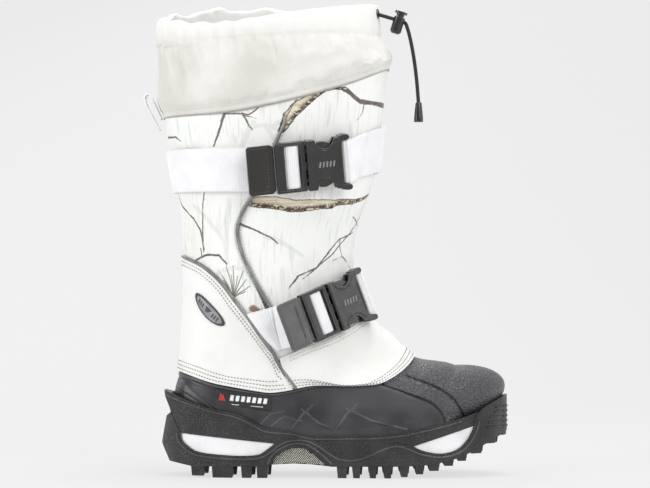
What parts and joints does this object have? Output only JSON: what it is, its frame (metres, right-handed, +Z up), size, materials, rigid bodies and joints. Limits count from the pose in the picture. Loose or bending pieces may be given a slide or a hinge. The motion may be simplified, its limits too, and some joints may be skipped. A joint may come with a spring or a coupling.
{
  "type": "insulated winter boot",
  "caption": "Tall insulated pac boot: rubber foot shell, lugged sole, printed fabric shaft with side-release buckle straps, cinched snow collar and removable felt liner.",
  "frame": {"origin": "on the ground, under the ankle, on the contact face of the heel's front centre tread block", "axes": "+X towards the toe, -Y to the outer side of this right boot, +Z up the leg"},
  "size_m": [0.3339, 0.1649, 0.4299],
  "materials": {
    "rubber_dark": "satin",
    "rubber_tread": "matte",
    "rubber_band": "satin",
    "foam_white": "pearl",
    "arch_metal": "ribbed",
    "shank_steel": "plain",
    "leather_white": "smooth",
    "shaft_fabric": "printed",
    "reflective": "reflective",
    "foam_laminate": "foam",
    "lining_fabric": "knit",
    "collar_nylon": "coated",
    "cord_black": "braided",
    "black_plastic": "gloss",
    "steel_spring": "wire",
    "webbing_white": "ribbed",
    "badge_grey": "satin",
    "label_black": "matte",
    "felt_grey": "felt",
    "insole_foam": "foam",
    "buckle_grey": "satin",
    "latch_black": "satin",
    "tab_brown": "satin",
    "tab_grey": "satin"
  },
  "bodies": {
    "boot": {"rubber_shell": "rubber_dark", "outsole": "rubber_tread", "midsole": "rubber_band", "heel_wedge": "foam_white", "forefoot_wedge": "foam_white", "arch_bridge": "arch_metal", "shank": "shank_steel", "heel_quarter": "leather_white", "vamp": "leather_white", "shaft_rear_panel": "shaft_fabric", "shaft_front_panel": "shaft_fabric", "quarter_piping": "reflective", "shaft_piping": "reflective", "shaft_foam": "foam_laminate", "shaft_lining": "lining_fabric", "snow_collar": "collar_nylon", "drawcord": "cord_black", "drawcord_eyelet": "black_plastic", "cord_bell": "black_plastic", "pull_loop": "webbing_white", "side_badge": "badge_grey", "side_label": "label_black", "upper_strap_rear": "webbing_white", "upper_strap_front": "webbing_white", "upper_buckle_body": "buckle_grey", "lower_strap_rear": "webbing_white", "lower_strap_front": "webbing_white", "lower_buckle_body": "buckle_grey"},
    "upper_latch": {"upper_buckle_latch": "latch_black", "upper_strap_tail": "webbing_white"},
    "upper_prong_top": {"upper_prong_top": "buckle_grey"},
    "upper_prong_bottom": {"upper_prong_bottom": "buckle_grey"},
    "upper_tab": {"upper_strap_tab": "tab_brown"},
    "lower_latch": {"lower_buckle_latch": "latch_black", "lower_strap_tail": "webbing_white"},
    "lower_prong_top": {"lower_prong_top": "buckle_grey"},
    "lower_prong_bottom": {"lower_prong_bottom": "buckle_grey"},
    "lower_tab": {"lower_strap_tab": "tab_grey"},
    "cord_lock": {"lock_barrel": "black_plastic", "lock_spring": "steel_spring"},
    "lock_button": {"lock_plunger": "black_plastic"},
    "liner": {"inner_boot": "felt_grey", "insole": "insole_foam"}
  },
  "joints": [
    {"name": "upper_latch_slide", "type": "slide", "parent": "boot", "child": "upper_latch", "axis": [-0.9653, -0.2325, -0.1186], "range_m": [0, 0.032], "deforming": ["upper_strap_rear", "upper_prong_top", "upper_prong_bottom"]},
    {"name": "upper_prong_squeeze", "type": "hinge", "parent": "upper_latch", "child": "upper_prong_top", "pos_m": [0.03308, -0.07252, 0.29375], "axis": [-0.2493, 0.9558, 0.1557], "range_deg": [0, 9], "stiffness_Nm_per_rad": 0.4},
    {"name": "upper_prong_squeeze_bottom", "type": "hinge", "parent": "upper_latch", "child": "upper_prong_bottom", "pos_m": [0.03508, -0.06784, 0.26825], "axis": [0.2493, -0.9558, -0.1557], "range_deg": [0, 9], "stiffness_Nm_per_rad": 0.4},
    {"name": "upper_tab_lift", "type": "hinge", "parent": "upper_latch", "child": "upper_tab", "pos_m": [0.00453, -0.07725, 0.27738], "axis": [-0.0772, -0.1799, 0.9807], "range_deg": [0, 70]},
    {"name": "lower_latch_slide", "type": "slide", "parent": "boot", "child": "lower_latch", "axis": [-0.7739, -0.5343, -0.34], "range_m": [0, 0.032], "deforming": ["lower_strap_rear", "lower_prong_top", "lower_prong_bottom"]},
    {"name": "lower_prong_squeeze", "type": "hinge", "parent": "lower_latch", "child": "lower_prong_top", "pos_m": [0.05205, -0.0485, 0.16532], "axis": [-0.5342, 0.8391, -0.1028], "range_deg": [0, 9], "stiffness_Nm_per_rad": 0.4},
    {"name": "lower_prong_squeeze_bottom", "type": "hinge", "parent": "lower_latch", "child": "lower_prong_bottom", "pos_m": [0.06089, -0.04585, 0.14102], "axis": [0.5342, -0.8391, 0.1028], "range_deg": [0, 9], "stiffness_Nm_per_rad": 0.4},
    {"name": "lower_tab_lift", "type": "hinge", "parent": "lower_latch", "child": "lower_tab", "pos_m": [0.03276, -0.06348, 0.14276], "axis": [-0.3402, -0.102, 0.9348], "range_deg": [0, 70]},
    {"name": "cord_lock_slide", "type": "slide", "parent": "boot", "child": "cord_lock", "axis": [-0.9567, 0.0478, 0.287], "range_m": [0, 0.005]},
    {"name": "lock_press", "type": "slide", "parent": "cord_lock", "child": "lock_button", "axis": [-0.2879, -0.0126, -0.9576], "range_m": [0, 0.003], "stiffness_N_per_m": 900, "springref_m": -0.001, "deforming": ["lock_spring"]},
    {"name": "liner_lift", "type": "slide", "parent": "boot", "child": "liner", "axis": [0, 0, 1], "range_m": [0, 0.42], "deforming": ["inner_boot", "insole"]}
  ],
  "couplings": [
    {"joint": "upper_prong_squeeze_bottom", "follows": "upper_prong_squeeze", "ratio": 1},
    {"joint": "lower_prong_squeeze_bottom", "follows": "lower_prong_squeeze", "ratio": 1}
  ]
}
